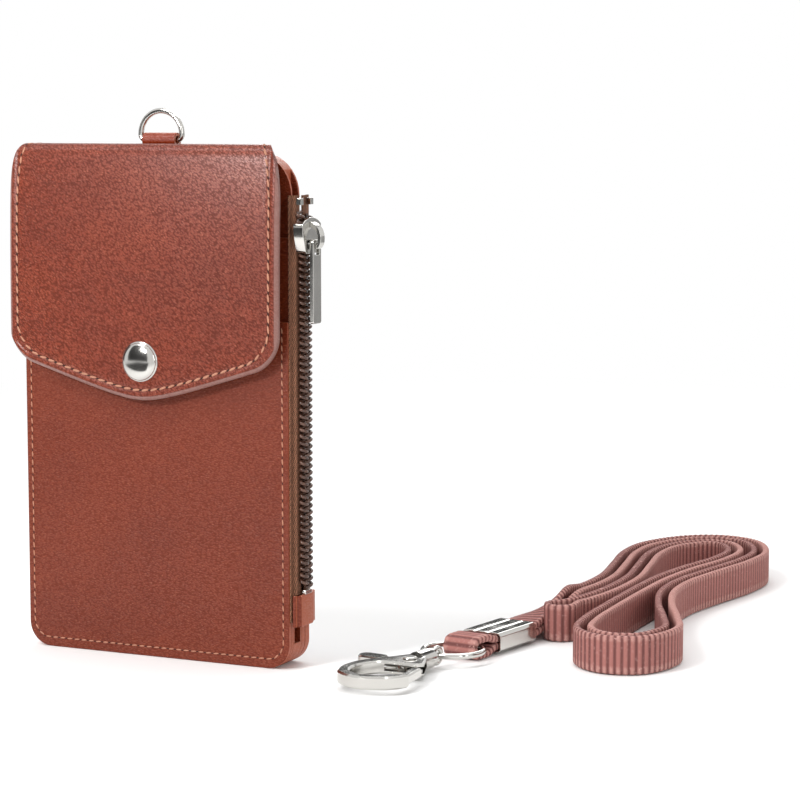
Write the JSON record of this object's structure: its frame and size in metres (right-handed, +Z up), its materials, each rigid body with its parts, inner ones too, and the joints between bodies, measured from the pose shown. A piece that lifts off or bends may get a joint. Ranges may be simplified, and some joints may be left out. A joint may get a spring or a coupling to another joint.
{
  "type": "id card holder with lanyard",
  "caption": "Upright leather card holder with a snap flap, a side zip pocket and a rear window, beside its folded webbing lanyard with a swivel snap hook.",
  "frame": {"origin": "middle of the holder's bottom edge, on the surface it stands on", "axes": "+Z up, the flap faces -Y, the window faces +Y, the zip side faces +X; the lanyard lies on the same surface past the zip side"},
  "size_m": [0.159, 0.1955, 0.1346],
  "materials": {
    "leather": "satin, fine pebble grain, cognac brown with painted edges",
    "flap_lining": "matt dark brown lining",
    "zip_tape": "woven",
    "zip_coil": "satin",
    "nickel": "polished nickel plate",
    "webbing": "ribbed dusty rose brown webbing",
    "clear_film": "clear glossy plastic sheet",
    "insert_card": "printed card",
    "slot_card": "plain card"
  },
  "bodies": {
    "holder": {"front_panel": "leather", "back_panel": "leather", "front_slot_band": "leather", "front_pocket_panel": "leather", "back_slot_band": "leather", "window_frame": "leather", "window_sheet": "clear_film", "zip_tape_front": "zip_tape", "zip_tape_back": "zip_tape", "zip_coil_front": "zip_coil", "zip_coil_back": "zip_coil", "zip_top_stop_front": "nickel", "zip_top_stop_back": "nickel", "zip_bottom_stop": "nickel", "zip_end_tab": "leather", "flap_root": "leather", "snap_stud": "nickel", "snap_washer": "nickel", "ring_loop": "leather", "strap": "webbing", "strap_end_loop": "webbing", "crimp": "nickel"},
    "bridge": {"flap_bridge": "leather"},
    "flap": {"flap_outer": "leather", "flap_lining": "flap_lining", "snap_cap": "nickel", "snap_socket": "nickel"},
    "ring": {"d_ring": "nickel"},
    "slider": {"zip_slider": "nickel", "zip_slider_crown": "nickel"},
    "puller": {"zip_puller": "nickel"},
    "insert": {"identity_insert": "insert_card"},
    "card": {"slot_card": "slot_card"},
    "link": {"wire_ring": "nickel"},
    "swivel": {"swivel_eye": "nickel"},
    "hook": {"hook_body": "nickel", "gate_rivet": "nickel", "gate_spring": "nickel"},
    "hook_gate": {"gate": "nickel"}
  },
  "joints": [
    {"name": "flap_top_crease", "type": "hinge", "parent": "holder", "child": "bridge", "pos_m": [0, -0.00271, 0.126], "axis": [-1, 0, 0], "range_deg": [0, 85]},
    {"name": "flap_front_crease", "type": "hinge", "parent": "bridge", "child": "flap", "pos_m": [0, -0.00881, 0.12525], "axis": [-1, 0, 0], "range_deg": [0, 85]},
    {"name": "ring_swing", "type": "hinge", "parent": "holder", "child": "ring", "pos_m": [0, -0.00066, 0.1269], "axis": [-1, 0, 0], "range_deg": [-60, 85]},
    {"name": "zip_slide", "type": "slide", "parent": "holder", "child": "slider", "axis": [0, 0, -1], "range_m": [0, 0.079], "deforming": ["zip_coil_front", "zip_coil_back"]},
    {"name": "puller_swing", "type": "hinge", "parent": "slider", "child": "puller", "pos_m": [0.04197, -0.00106, 0.1032], "axis": [0, -1, 0], "range_deg": [0, 110]},
    {"name": "insert_slide", "type": "slide", "parent": "holder", "child": "insert", "axis": [0, 0, -1], "range_m": [-0.085, 0]},
    {"name": "slot_card_slide", "type": "slide", "parent": "holder", "child": "card", "axis": [0, 0, -1], "range_m": [-0.08, 0]},
    {"name": "wire_ring_swing", "type": "hinge", "parent": "holder", "child": "link", "pos_m": [0.06979, 0.02719, 0.00295], "axis": [-0.9877, 0.1564, 0], "range_deg": [0, 90], "deforming": ["strap_end_loop"]},
    {"name": "swivel_tilt", "type": "hinge", "parent": "link", "child": "swivel", "pos_m": [0.06747, 0.01257, 0.00295], "axis": [-0.9877, 0.1564, 0], "range_deg": [0, 60]},
    {"name": "hook_turn", "type": "hinge", "parent": "swivel", "child": "hook", "pos_m": [0.06693, 0.00911, 0.00295], "axis": [0.1564, 0.9877, 0], "continuous": true},
    {"name": "gate_swing", "type": "hinge", "parent": "hook", "child": "hook_gate", "pos_m": [0.06603, 0.00024, 0.00295], "axis": [0, 0, -1], "range_deg": [0, 24], "stiffness_Nm_per_rad": 0.01, "springref_deg": -17.19}
  ],
  "couplings": [
    {"joint": "flap_top_crease", "follows": "flap_front_crease", "ratio": 1}
  ]
}
